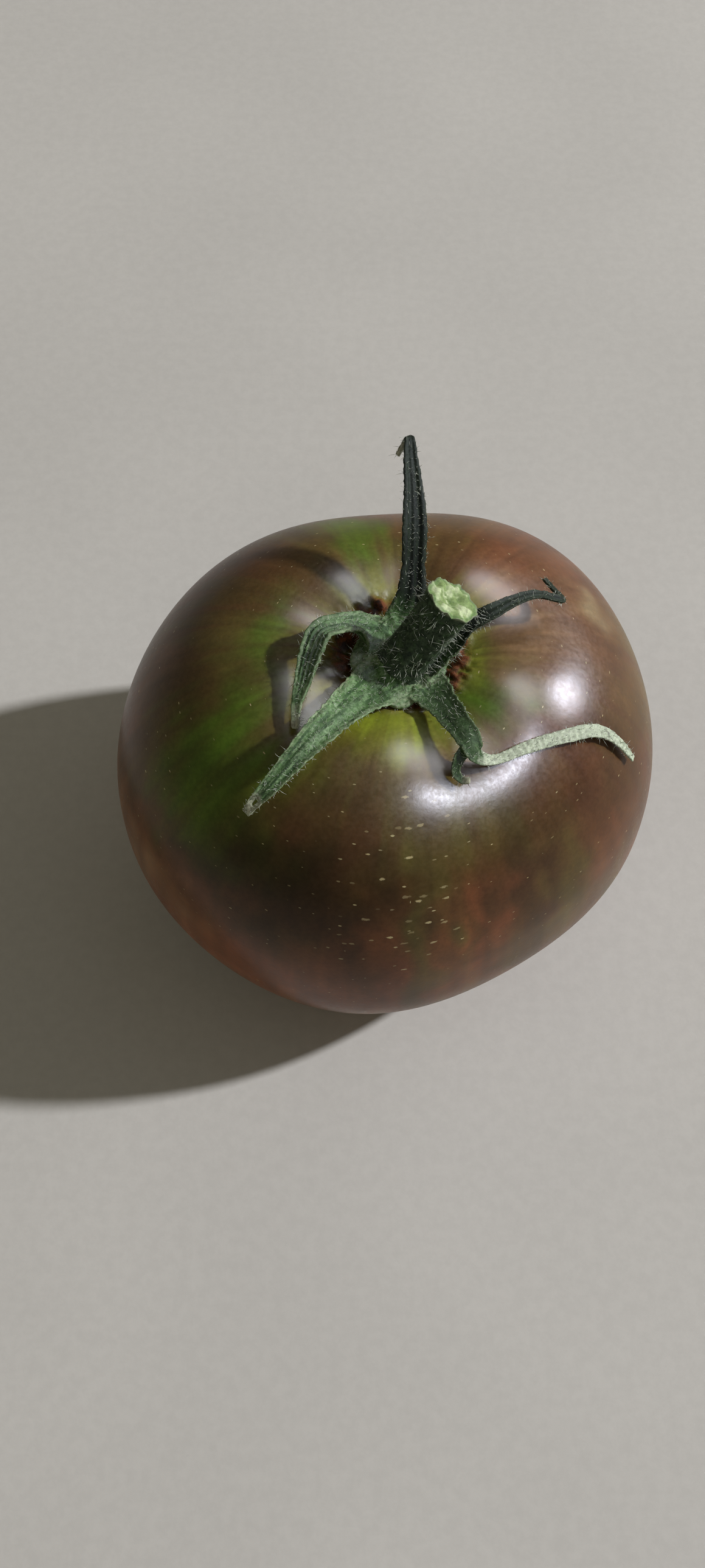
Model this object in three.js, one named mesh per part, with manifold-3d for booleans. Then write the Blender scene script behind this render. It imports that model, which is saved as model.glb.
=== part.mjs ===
// A dark-skinned tomato, picked with its green calyx and a stub of its stalk, standing on its blossom end.
// Millimetres, +Z up. The origin is the middle of the small flat spot that the fruit rests on.
import * as THREE from "three";
import { mergeVertices } from "three/addons/utils/BufferGeometryUtils.js";
import Module from "manifold-3d";

const wasm = await Module();
wasm.setup();

// The fruit's body: a squat round with full shoulders.
const FRUIT_RADIUS = 34.5;
const BELLY_DEPTH = 25.9;
const SHOULDER_RISE = 31.4;
const BODY_ROUNDNESS = 0.92;
const HEIGHT_ROUNDNESS = 0.86;
const FLAT_CUT = 0.6;
const CROWN_LEAN = 1.6;

// The hollow round the stalk, and the furrows that run into it between the lobes.
const HOLLOW_DEPTH = 7.0;
const HOLLOW_RADIUS = 11.0;
const FURROW_DEPTH = 1.2;
const FURROW_RADIUS = 13.0;
const FURROW_COUNT = 5;
const LOBE_AZIMUTH = 51.6;

// How far the outline leaves a circle: [waves round the fruit, share of the radius, azimuth of a crest].
const OUTLINE_WAVES = [
  [2, 0.044, 18.7],
  [3, 0.0141, 26.7],
  [4, 0.0068, -32.3],
  [FURROW_COUNT, 0.0114, LOBE_AZIMUTH],
];

// The corky ring that stands round the calyx at the bottom of the hollow.
const CORK_RADIUS = 6.9;
const CORK_WIDTH = 0.9;
const CORK_RISE = 0.45;
const CORK_WAVES = 11;
const CORK_UNEVENNESS = 0.25;

// The calyx: a small disc that carries five sepals.
const CALYX_X = 1.3;
const CALYX_Y = -1.2;
const DISC_RADIUS = 5.8;
const DISC_TOP = 53.4;
const DISC_BASE = 50.2;
const DISC_DOME = 0.9;

// Separate pieces keep this far apart.
const GAP = 0.3;

// A sepal's blade. Its edges stand up from its midrib by a share of its width, once it is clear of the disc.
const BLADE_THICKNESS = 0.66;
const CHANNEL_DEPTH = 0.16;
const CHANNEL_START = 0.2;

// The stalk stub leans towards +X and is cut off square.
const STALK_FOOT = new THREE.Vector3(1.2, -2.2, 52.6);
const STALK_TOP = new THREE.Vector3(7.4, 0.5, 62.9);
const STALK_RADIUS = 2.95;
const STALK_FLARE = 0.45;
const FOOT_FLARE_FADE = 7;
const CUT_FLARE_FADE = 6;
const STALK_RIDGES = 6;
const STALK_RIDGE_DEPTH = 0.14;

// The calyx holds the stalk on a boss of its own, between these distances along the stalk from its foot.
const BOSS_START = -0.3;
const BOSS_LENGTH = 1.9;

// Mesh steps. The fruit's rows crowd towards the hollow.
const FRUIT_SEGMENTS = 80;
const FRUIT_ROWS = 46;
const ROW_CROWDING = 0.35;
const DISC_SEGMENTS = 28;
const DISC_RINGS = [0, 0.35, 0.7, 0.92, 1];
const BLADE_STEP = 1.15;
const BLADE_SPANS = 4;
const STALK_SEGMENTS = 30;
const STALK_STEPS = 8;
const BOSS_STEPS = 3;
const MERGE = 1e-4;
const SLIVER = 0.05;

const radians = THREE.MathUtils.degToRad;
const UP = new THREE.Vector3(0, 0, 1);
const FRUIT_HEART = new THREE.Vector3(0, 0, BELLY_DEPTH);
const stalkLength = STALK_TOP.distanceTo(STALK_FOOT);

const greenLeaf = new THREE.MeshStandardMaterial({ color: 0x3f6b3f, roughness: 0.8, metalness: 0 });
const darkStalk = new THREE.MeshStandardMaterial({ color: 0x2f4f2c, roughness: 0.85, metalness: 0 });
const darkSkin = new THREE.MeshStandardMaterial({ color: 0x5a3a2a, roughness: 0.3, metalness: 0 });

// The angle, from the bottom pole, where the flat spot ends.
const flatAngle = Math.acos((1 - FLAT_CUT / BELLY_DEPTH) ** (1 / HEIGHT_ROUNDNESS));

// A point of the fruit's skin: angle runs from 0 at the bottom pole to PI at the top, azimuth is from +X.
function skinPoint(angle, azimuth) {
  const across = Math.sin(angle);
  const along = Math.cos(angle);
  let swell = 1;
  for (const [waves, share, crest] of OUTLINE_WAVES) {
    swell += share * Math.cos(waves * (azimuth - radians(crest)));
  }
  const reach = FRUIT_RADIUS * across ** BODY_ROUNDNESS * swell;
  const height = Math.abs(along) ** HEIGHT_ROUNDNESS;
  let z = BELLY_DEPTH + (along > 0 ? -BELLY_DEPTH * height : SHOULDER_RISE * height);
  let lean = 0;
  if (along < 0) {
    const furrow = 0.5 - 0.5 * Math.cos(FURROW_COUNT * (azimuth - radians(LOBE_AZIMUTH)));
    const nearness = (reach / FURROW_RADIUS) ** 2;
    z -= HOLLOW_DEPTH * Math.exp(-((reach / HOLLOW_RADIUS) ** 2));
    z -= FURROW_DEPTH * furrow * nearness * Math.exp(1 - nearness);
    const lumps = 1 - CORK_UNEVENNESS + CORK_UNEVENNESS * Math.cos(CORK_WAVES * azimuth);
    z += CORK_RISE * lumps * Math.exp(-(((reach - CORK_RADIUS) / CORK_WIDTH) ** 2));
    lean = CROWN_LEAN * along ** 2;
  }
  z = Math.max(z, FLAT_CUT);
  return new THREE.Vector3(reach * Math.cos(azimuth) + lean, reach * Math.sin(azimuth), z);
}

// The fruit is a lathe whose points are then moved out or in to the lobed skin.
function fruitGeometry() {
  const angles = [0];
  for (let row = 0; row <= FRUIT_ROWS; row++) {
    const share = row / FRUIT_ROWS;
    const crowded = (1 + ROW_CROWDING) * share - ROW_CROWDING * share * share;
    angles.push(flatAngle + (Math.PI - flatAngle) * crowded);
  }
  const profile = angles.map((a) => new THREE.Vector2(Math.sin(a), -Math.cos(a)));
  const geometry = new THREE.LatheGeometry(profile, FRUIT_SEGMENTS);
  const position = geometry.getAttribute("position");
  for (let turn = 0; turn <= FRUIT_SEGMENTS; turn++) {
    const azimuth = (2 * Math.PI * (turn % FRUIT_SEGMENTS)) / FRUIT_SEGMENTS;
    angles.forEach((angle, row) => {
      const onAxis = row === 0 || row === angles.length - 1;
      const p = onAxis ? skinPoint(row === 0 ? 0 : Math.PI, 0) : skinPoint(angle, azimuth);
      position.setXYZ(turn * angles.length + row, p.x, p.y, p.z);
    });
  }
  return geometry;
}

// A closed body through a row of rings that all have the same number of points.
function loft(rings) {
  const count = rings[0].length;
  const points = rings.flat();
  const faces = [];
  const at = (ring, k) => ring * count + (k % count);
  for (let ring = 0; ring + 1 < rings.length; ring++) {
    for (let k = 0; k < count; k++) {
      faces.push(at(ring, k), at(ring, k + 1), at(ring + 1, k + 1));
      faces.push(at(ring, k), at(ring + 1, k + 1), at(ring + 1, k));
    }
  }
  const last = rings.length - 1;
  for (const [ring, outward] of [[0, false], [last, true]]) {
    const middle = new THREE.Vector3();
    rings[ring].forEach((p) => middle.addScaledVector(p, 1 / count));
    points.push(middle);
    const hub = points.length - 1;
    for (let k = 0; k < count; k++) {
      if (outward) faces.push(hub, at(ring, k), at(ring, k + 1));
      else faces.push(hub, at(ring, k + 1), at(ring, k));
    }
  }
  return new THREE.BufferGeometry().setFromPoints(points).setIndex(faces);
}

function toSolid(geometry) {
  const bare = new THREE.BufferGeometry().setAttribute("position", geometry.getAttribute("position"));
  bare.setIndex(geometry.index);
  const merged = mergeVertices(bare, MERGE);
  return new wasm.Manifold(
    new wasm.Mesh({
      numProp: 3,
      vertProperties: new Float32Array(merged.getAttribute("position").array),
      triVerts: new Uint32Array(merged.index.array),
    }),
  );
}

function toGeometry(solid) {
  const mesh = solid.getMesh();
  return new THREE.BufferGeometry()
    .setAttribute("position", new THREE.BufferAttribute(mesh.vertProperties, 3))
    .setIndex(new THREE.BufferAttribute(mesh.triVerts, 1));
}

// The sepals' midribs. A row is one point: x, y, z, width there, and the roll of the blade's
// face about the midrib, in degrees, from facing straight away from the fruit.
const SEPALS = {
  back: [
    [1.3, 0.6, 52.5, 7.2, 0],
    [2.2, 3.7, 52.9, 6.0, 0],
    [2.8, 6.4, 54.9, 3.8, 0],
    [3.0, 9.0, 57.7, 2.9, 4],
    [3.1, 12.1, 60.7, 3.2, 6],
    [3.0, 15.9, 62.9, 2.6, 6],
    [2.7, 20.0, 64.3, 1.8, 4],
    [2.5, 22.9, 64.8, 1.2, 0],
    [1.9, 22.4, 64.0, 0.9, 0],
    [1.2, 21.6, 63.1, 0.8, 0],
  ],
  right: [
    [2.5, -1.6, 52.5, 7.2, 0],
    [4.9, -1.6, 53.0, 5.8, -6],
    [7.1, -1.0, 55.0, 4.0, -18],
    [9.4, 0.3, 57.2, 3.1, -24],
    [12.1, 1.3, 58.6, 2.5, -22],
    [14.9, 3.3, 58.3, 1.6, -12],
    [17.8, 5.0, 57.3, 1.3, 0],
    [20.9, 5.2, 56.1, 1.1, 0],
    [20.2, 7.0, 55.5, 0.9, 0],
    [19.0, 8.5, 55.8, 0.8, 0],
  ],
  front_right: [
    [2.2, -2.4, 52.5, 7.0, 0],
    [4.4, -5.2, 53.0, 5.6, 4],
    [6.3, -8.5, 54.3, 3.8, 20],
    [7.9, -11.8, 55.6, 3.2, 28],
    [9.2, -14.4, 55.9, 2.8, 16],
    [9.8, -15.6, 54.9, 2.2, -10],
    [11.0, -15.6, 53.6, 1.6, -26],
    [12.5, -15.2, 52.9, 1.3, -30],
    [15.5, -13.7, 52.6, 1.5, -26],
    [18.3, -12.4, 52.2, 1.6, -20],
    [21.2, -11.2, 51.6, 1.7, -12],
    [24.0, -10.0, 50.7, 1.7, -6],
    [26.1, -9.4, 49.1, 1.5, 0],
    [28.2, -9.5, 46.7, 1.2, 0],
    [30.1, -10.0, 43.9, 0.8, 0],
  ],
  front_left: [
    [0.8, -3.0, 52.5, 7.2, 0],
    [-1.9, -5.7, 53.0, 6.4, 0],
    [-4.3, -8.4, 54.2, 4.9, -4],
    [-6.3, -11.1, 55.4, 4.1, -8],
    [-8.3, -13.6, 56.0, 3.6, -8],
    [-10.7, -16.4, 55.6, 2.9, -4],
    [-13.3, -19.1, 54.4, 2.2, 0],
    [-15.4, -20.7, 52.8, 1.6, 0],
    [-16.6, -21.6, 51.6, 1.1, 0],
  ],
  left: [
    [0.4, 0.4, 52.5, 7.0, 0],
    [-1.9, 1.6, 53.1, 6.2, 4],
    [-3.9, 1.8, 54.9, 5.2, 10],
    [-5.9, 0.9, 56.6, 4.2, 14],
    [-7.9, -0.4, 57.3, 3.8, 12],
    [-8.8, -2.3, 57.0, 3.5, 8],
    [-9.5, -4.3, 56.3, 2.9, 4],
    [-10.1, -6.4, 55.6, 2.2, 0],
    [-10.8, -8.9, 54.8, 1.4, 0],
    [-11.0, -11.6, 53.9, 0.9, 0],
  ],
  // A torn lobe of the front right sepal, curled back at its bend.
  front_right_curl: [
    [8.9, -15.0, 55.3, 1.6, 0],
    [7.9, -16.1, 54.5, 1.3, 0],
    [7.6, -17.2, 53.5, 1.1, 0],
    [8.3, -17.9, 52.9, 0.9, 0],
    [9.3, -18.1, 53.1, 0.8, 0],
  ],
};

// A sepal: a thin blade with a shallow channel, swept along its midrib.
function sepalGeometry(rows) {
  const midrib = new THREE.CatmullRomCurve3(rows.map(([x, y, z]) => new THREE.Vector3(x, y, z)));
  const steps = Math.round(midrib.getLength() / BLADE_STEP);
  const rings = [];
  for (let step = 0; step <= steps; step++) {
    const share = step / steps;
    const place = share * (rows.length - 1);
    const row = Math.min(Math.floor(place), rows.length - 2);
    const between = (column) => THREE.MathUtils.lerp(rows[row][column], rows[row + 1][column], place - row);
    const width = between(3);
    const roll = radians(between(4));
    const centre = midrib.getPoint(share);
    const forward = midrib.getTangent(share);
    const face = centre.clone().sub(FRUIT_HEART).normalize();
    face.addScaledVector(forward, -face.dot(forward)).normalize();
    face.applyAxisAngle(forward, roll);
    const side = new THREE.Vector3().crossVectors(forward, face);
    const channel = CHANNEL_DEPTH * width * Math.min(1, share / CHANNEL_START);
    const ring = [];
    const point = (across, lift) =>
      centre
        .clone()
        .addScaledVector(side, (across * width) / 2)
        .addScaledVector(face, channel * across * across + lift);
    for (let k = 0; k <= BLADE_SPANS; k++) ring.push(point(-1 + (2 * k) / BLADE_SPANS, BLADE_THICKNESS / 2));
    for (let k = BLADE_SPANS; k >= 0; k--) ring.push(point(-1 + (2 * k) / BLADE_SPANS, -BLADE_THICKNESS / 2));
    rings.push(ring);
  }
  return loft(rings);
}

// A domed disc. Its underside is later cut to the hollow's floor.
function discGeometry() {
  const upper = DISC_RINGS.map((r) => new THREE.Vector2(r * DISC_RADIUS, DISC_TOP - DISC_DOME * r * r));
  const lower = [new THREE.Vector2(0, DISC_BASE), new THREE.Vector2(DISC_RADIUS, DISC_BASE)];
  const geometry = new THREE.LatheGeometry([...lower, ...upper.reverse()], DISC_SEGMENTS);
  geometry.rotateX(Math.PI / 2);
  geometry.translate(CALYX_X, CALYX_Y, 0);
  return geometry;
}

// Rings of the stalk between two distances from its foot: ridged, and flared at both ends.
function stalkGeometry(from, to, steps, clearance = 0) {
  const axis = STALK_TOP.clone().sub(STALK_FOOT).normalize();
  const side = new THREE.Vector3().crossVectors(UP, axis).normalize();
  const other = new THREE.Vector3().crossVectors(axis, side);
  const rings = [];
  for (let step = 0; step <= steps; step++) {
    const distance = from + ((to - from) * step) / steps;
    const share = distance / stalkLength;
    const flare = STALK_FLARE * (Math.exp(-share * FOOT_FLARE_FADE) + Math.exp((share - 1) * CUT_FLARE_FADE));
    const ring = [];
    for (let k = 0; k < STALK_SEGMENTS; k++) {
      const turn = (2 * Math.PI * k) / STALK_SEGMENTS;
      const ridge = STALK_RIDGE_DEPTH * Math.cos(STALK_RIDGES * turn);
      const radius = STALK_RADIUS + flare + ridge + clearance;
      ring.push(
        STALK_FOOT.clone()
          .addScaledVector(axis, distance)
          .addScaledVector(side, radius * Math.cos(turn))
          .addScaledVector(other, radius * Math.sin(turn)),
      );
    }
    rings.push(ring);
  }
  return loft(rings);
}

function calyxGeometry() {
  let whole = toSolid(discGeometry()).add(toSolid(stalkGeometry(BOSS_START, BOSS_LENGTH, BOSS_STEPS)));
  for (const rows of Object.values(SEPALS)) whole = whole.add(toSolid(sepalGeometry(rows)));
  whole = whole.subtract(toSolid(stalkGeometry(BOSS_LENGTH, stalkLength, STALK_STEPS, GAP)));
  whole = whole.subtract(toSolid(fruitGeometry()).translate([0, 0, GAP]));
  // A join can leave slivers and an empty scrap: short edges are closed up, and the largest body is kept.
  const [body] = whole.simplify(SLIVER).decompose().sort((a, b) => b.volume() - a.volume());
  return toGeometry(body);
}

function named(name, geometry, material) {
  geometry.computeVertexNormals();
  const mesh = new THREE.Mesh(geometry, material);
  mesh.name = name;
  return mesh;
}

// Heights above are from the full round's lowest point, so the group drops by what the flat spot takes off.
const tomato = new THREE.Group();
tomato.position.z = -FLAT_CUT;
tomato.add(named("fruit", fruitGeometry(), darkSkin));
tomato.add(named("calyx", calyxGeometry(), greenLeaf));
tomato.add(named("stalk", stalkGeometry(BOSS_LENGTH + GAP, stalkLength, STALK_STEPS), darkStalk));

export default tomato;
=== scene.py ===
"""A dark lobed tomato with its calyx and cut stalk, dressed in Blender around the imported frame.

Sizes are millimetres, with heights from the bottom pole that the fruit would have without its flat rest spot. They
become metres in the frame's own coordinates when a mesh is made.
"""

import logging
import math
from collections.abc import Sequence
from dataclasses import dataclass, field
from enum import Enum

import bpy
import numpy as np
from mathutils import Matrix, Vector
from mathutils.kdtree import KDTree


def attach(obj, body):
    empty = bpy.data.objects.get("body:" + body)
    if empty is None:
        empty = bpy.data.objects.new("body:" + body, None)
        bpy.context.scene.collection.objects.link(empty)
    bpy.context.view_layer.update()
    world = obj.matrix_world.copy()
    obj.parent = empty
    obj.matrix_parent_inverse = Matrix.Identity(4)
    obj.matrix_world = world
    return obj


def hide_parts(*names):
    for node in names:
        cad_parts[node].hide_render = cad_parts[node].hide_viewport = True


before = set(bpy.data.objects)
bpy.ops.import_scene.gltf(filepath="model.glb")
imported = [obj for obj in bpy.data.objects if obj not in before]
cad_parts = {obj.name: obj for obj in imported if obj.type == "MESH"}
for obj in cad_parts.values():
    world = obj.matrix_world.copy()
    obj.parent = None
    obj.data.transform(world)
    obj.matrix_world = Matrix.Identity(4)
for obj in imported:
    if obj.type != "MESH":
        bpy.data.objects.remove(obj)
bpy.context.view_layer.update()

MM = 0.001
FLAT_CUT = 0.6
BODY = "root"
TINY = 1e-9
log = logging.getLogger("tomato")

# What the input of a shader node takes: a socket to link, or a value.
Feed = bpy.types.NodeSocket | float | Sequence[float]
# The numbers of each face's points, and a closed solid as points and faces.
Faces = list[tuple[int, ...]]
Solid = tuple[np.ndarray, Faces]


class Pigment(Enum):
    """Colours mixed into the skin, linear red, green, blue; dark also paints shade, pale sheen and reflection."""

    BROWN = (0.12, 0.062, 0.022)
    RED_BROWN = (0.16, 0.058, 0.027)
    RUST = (0.25, 0.075, 0.03)
    OLIVE = (0.1, 0.085, 0.02)
    HALO = (0.25, 0.3, 0.025)
    LEAF_GREEN = (0.085, 0.16, 0.012)
    DARK_AND_SHADE = (0.032, 0.018, 0.006)
    PALE_AND_SHEEN = (0.26, 0.2, 0.11)
    FLECK = (0.55, 0.48, 0.27)
    CORK = (0.17, 0.06, 0.025)


class LampUse(Enum):
    """What a light shows as: all but its mirror image in gloss, or that mirror image alone."""

    NO_GLINT = (True, False)
    GLINT_ONLY = (False, True)


class Greenery(Enum):
    """The colours of the calyx and stalk, as linear red, green and blue."""

    FRESH = (0.072, 0.165, 0.042)
    DEEP = (0.022, 0.055, 0.016)
    FROST = (0.34, 0.46, 0.3)
    MINT = (0.5, 0.57, 0.45)
    UNDERSIDE = (0.12, 0.2, 0.09)
    MARGIN = (0.3, 0.34, 0.22)
    DRY = (0.42, 0.43, 0.34)
    BURNT = (0.05, 0.04, 0.025)
    STALK_SKIN = (0.016, 0.032, 0.013)
    CUT_FLESH = (0.2, 0.29, 0.1)
    CUT_FIBRE = (0.5, 0.59, 0.36)
    CUT_PITH = (0.11, 0.18, 0.05)
    HAIR = (0.74, 0.78, 0.7)


def steady(value: np.ndarray, low: float, high: float) -> np.ndarray:
    """Rises smoothly from 0 at low to 1 at high."""
    share = np.clip((value - low) / (high - low), 0, 1)
    return share * share * (3 - 2 * share)


def unit(vectors: np.ndarray) -> np.ndarray:
    """Scales each vector to length one."""
    length = np.linalg.norm(vectors, axis=-1, keepdims=True)
    return vectors / np.maximum(length, TINY)


def coat(colour: Enum, count: int) -> np.ndarray:
    """Repeats a named colour, one a row."""
    return np.tile(np.array(colour.value), (count, 1))


def paint(base: np.ndarray, *layers: tuple[Enum, np.ndarray | float]) -> np.ndarray:
    """Mixes named colours into an array of colours, one after the other.

    Args:
        base: One colour a row.
        *layers: The colours that go over it, each with how much of it a row takes, from 0 to 1.

    Returns:
        The mixed colours.
    """
    for colour, share in layers:
        weight = np.clip(np.asarray(share, float), 0, 1)[..., None]
        base = base * (1 - weight) + np.array(colour.value) * weight
    return base


def full_turn(columns: int) -> np.ndarray:
    """The turn of each point of a closed ring, in radians."""
    return 2 * math.pi * np.arange(columns) / columns


@dataclass(frozen=True)
class Clouds:
    """Smooth seeded noise in space, made of plane waves in random directions."""

    seed: int
    size: float
    octaves: int = 2
    waves: int = 22
    pitches: tuple[float, float] = (0.65, 1.45)
    octave_fade: float = 0.5
    peak: float = 1.6

    def at(self, places: np.ndarray) -> np.ndarray:
        """Reads the noise.

        Args:
            places: Points in millimetres, one a row.

        Returns:
            One value a point, about -1 to 1, with a mean of 0.
        """
        draw = np.random.default_rng(self.seed)
        total = np.zeros(len(places))
        strength = 1.0
        power = 0.0
        for octave in range(self.octaves):
            directions = unit(draw.normal(size=(self.waves, 3)))
            pitch = draw.uniform(*self.pitches, self.waves) * 2 * math.pi * 2**octave / self.size
            phases = draw.uniform(0, 2 * math.pi, self.waves)
            angles = places @ (directions * pitch[:, None]).T + phases
            total += strength * np.sin(angles).sum(axis=1)
            power += strength**2 * self.waves / 2
            strength *= self.octave_fade
        return total / (self.peak * math.sqrt(power))


@dataclass
class Piece:
    """A mesh in the making: its points in millimetres, its faces, and what its material reads off it."""

    name: str
    points: np.ndarray
    faces: Sequence[Sequence[int]]
    colours: dict[str, np.ndarray] = field(default_factory=dict)
    values: dict[str, np.ndarray] = field(default_factory=dict)
    smooth: bool = True

    def make(self, material: bpy.types.Material) -> bpy.types.Object:
        """Builds the object in metres, in the frame's coordinates.

        Args:
            material: The finish that the whole piece takes.

        Returns:
            The object, linked to the scene.
        """
        mesh = bpy.data.meshes.new(self.name)
        grounded = (self.points - np.array([0.0, 0.0, FLAT_CUT])) * MM
        mesh.from_pydata(grounded.tolist(), [], self.faces)
        for name, rgb in self.colours.items():
            layer = mesh.attributes.new(name, "FLOAT_COLOR", "POINT")
            layer.data.foreach_set("color", np.column_stack([rgb, np.ones(len(rgb))]).astype(np.float32).ravel())
        for name, numbers in self.values.items():
            layer = mesh.attributes.new(name, "FLOAT", "POINT")
            layer.data.foreach_set("value", numbers.astype(np.float32))
        mesh.polygons.foreach_set("use_smooth", [self.smooth] * len(mesh.polygons))
        mesh.materials.append(material)
        mesh.update()
        made = bpy.data.objects.new(self.name, mesh)
        bpy.context.scene.collection.objects.link(made)
        return made


def ring_faces(rows: int, columns: int, first_cap: bool = False, last_cap: bool = False) -> Faces:
    """Joins rings of points, each closed on itself, into quads.

    Args:
        rows: How many rings there are.
        columns: How many points each ring has.
        first_cap: Whether one face closes the first ring.
        last_cap: Whether one face closes the last ring.

    Returns:
        The faces, facing out where each ring turns left round the way the rings run.
    """
    faces: Faces = []
    for low in range(0, (rows - 1) * columns, columns):
        for column in range(columns):
            after = (column + 1) % columns
            faces.append((low + column, low + after, low + columns + after, low + columns + column))
    if first_cap:
        faces.append(tuple(range(columns - 1, -1, -1)))
    if last_cap:
        faces.append(tuple(range((rows - 1) * columns, rows * columns)))
    return faces


class NodeKit:
    """Adds and links the shader nodes of one material."""

    NOISE_SPAN = (0.3, 0.7)
    MIX_SHARE, MIX_FIRST, MIX_SECOND, MIX_RESULT = 0, 6, 7, 2

    def __init__(self, name: str) -> None:
        """Starts an empty material.

        Args:
            name: The material's name.
        """
        self.material = bpy.data.materials.new(name)
        self.material.use_nodes = True
        self.tree = self.material.node_tree
        self.tree.nodes.clear()

    def add(self, kind: str, inputs: dict[str | int, Feed], **settings: str) -> bpy.types.Node:
        """Adds a node.

        Args:
            kind: The node's Blender type.
            inputs: Values or sockets for its inputs, by name or number.
            **settings: Values for its own settings.

        Returns:
            The node.
        """
        node = self.tree.nodes.new(kind)
        for name, value in settings.items():
            setattr(node, name, value)
        for name, value in inputs.items():
            if isinstance(value, bpy.types.NodeSocket):
                self.tree.links.new(value, node.inputs[name])
            else:
                node.inputs[name].default_value = value
        return node

    def sum(self, operation: str, *values: Feed) -> bpy.types.NodeSocket:
        """Works out a number from numbers."""
        return self.add("ShaderNodeMath", dict(enumerate(values)), operation=operation).outputs[0]

    def times(self, first: Feed, second: Feed) -> bpy.types.NodeSocket:
        """Multiplies two numbers."""
        return self.sum("MULTIPLY", first, second)

    def vector(self, operation: str, *values: Feed) -> bpy.types.NodeSocket:
        """Works out a vector from vectors."""
        return self.add("ShaderNodeVectorMath", dict(enumerate(values)), operation=operation).outputs["Vector"]

    def dot(self, first: Feed, second: Feed) -> bpy.types.NodeSocket:
        """The dot product of two vectors."""
        return self.add("ShaderNodeVectorMath", {0: first, 1: second}, operation="DOT_PRODUCT").outputs["Value"]

    def scaled(self, vector: Feed, factor: Feed) -> bpy.types.NodeSocket:
        """Scales a vector or a colour."""
        return self.add("ShaderNodeVectorMath", {0: vector, "Scale": factor}, operation="SCALE").outputs["Vector"]

    def millimetres(self) -> bpy.types.NodeSocket:
        """The place on the object, in millimetres."""
        return self.scaled(self.add("ShaderNodeTexCoord", {}).outputs["Object"], 1 / MM)

    def grain(self, place: Feed, size: float, detail: float = 2.0, roughness: float = 0.5) -> bpy.types.NodeSocket:
        """Cloudy noise whose blobs are about size millimetres wide."""
        settings = {"Vector": place, "Scale": 0.6 / size, "Detail": detail, "Roughness": roughness}
        return self.add("ShaderNodeTexNoise", settings, noise_dimensions="3D").outputs["Fac"]

    def rise(
        self, value: Feed, low: float, high: float, start: float = 0.0, end: float = 1.0
    ) -> bpy.types.NodeSocket:
        """Goes smoothly from start, where the value is low, to end, where it is high."""
        inputs = {"Value": value, "From Min": low, "From Max": high, "To Min": start, "To Max": end}
        return self.add("ShaderNodeMapRange", inputs, interpolation_type="SMOOTHSTEP").outputs["Result"]

    def spread(self, noise: Feed, start: float, end: float) -> bpy.types.NodeSocket:
        """Spreads noise, which keeps near its middle, from start to end."""
        return self.rise(noise, *self.NOISE_SPAN, start, end)

    def mix(self, share: Feed, first: Feed, second: Feed) -> bpy.types.NodeSocket:
        """Lays the second colour over the first."""
        inputs = {self.MIX_SHARE: share, self.MIX_FIRST: first, self.MIX_SECOND: second}
        return self.add("ShaderNodeMix", inputs, data_type="RGBA", blend_type="MIX").outputs[self.MIX_RESULT]

    def read(self, name: str, output: str = "Fac") -> bpy.types.NodeSocket:
        """Reads an attribute of the mesh."""
        return self.add("ShaderNodeAttribute", {}, attribute_name=name).outputs[output]

    def bump(
        self, height: Feed, depth: float, under: bpy.types.NodeSocket | None = None
    ) -> bpy.types.NodeSocket:
        """Turns a height into a relief.

        Args:
            height: The height, from 0 to 1.
            depth: How many millimetres a height of 1 stands for.
            under: Another relief that this one lies over.

        Returns:
            The relief's normals.
        """
        inputs = {"Height": height, "Distance": depth * MM, "Strength": 1.0}
        if under is not None:
            inputs["Normal"] = under
        return self.add("ShaderNodeBump", inputs).outputs["Normal"]

    def finish(self, inputs: dict[str | int, Feed]) -> bpy.types.Material:
        """Ends the material with the usual surface shader.

        Args:
            inputs: Values or sockets for the shader's inputs, by name.

        Returns:
            The material.
        """
        shader = self.add("ShaderNodeBsdfPrincipled", inputs)
        self.add("ShaderNodeOutputMaterial", {"Surface": shader.outputs[0]})
        return self.material


def opaque(colour: Enum) -> tuple[float, float, float, float]:
    """A named colour with an alpha of one, as colour sockets take it."""
    return (*colour.value, 1.0)


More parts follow.
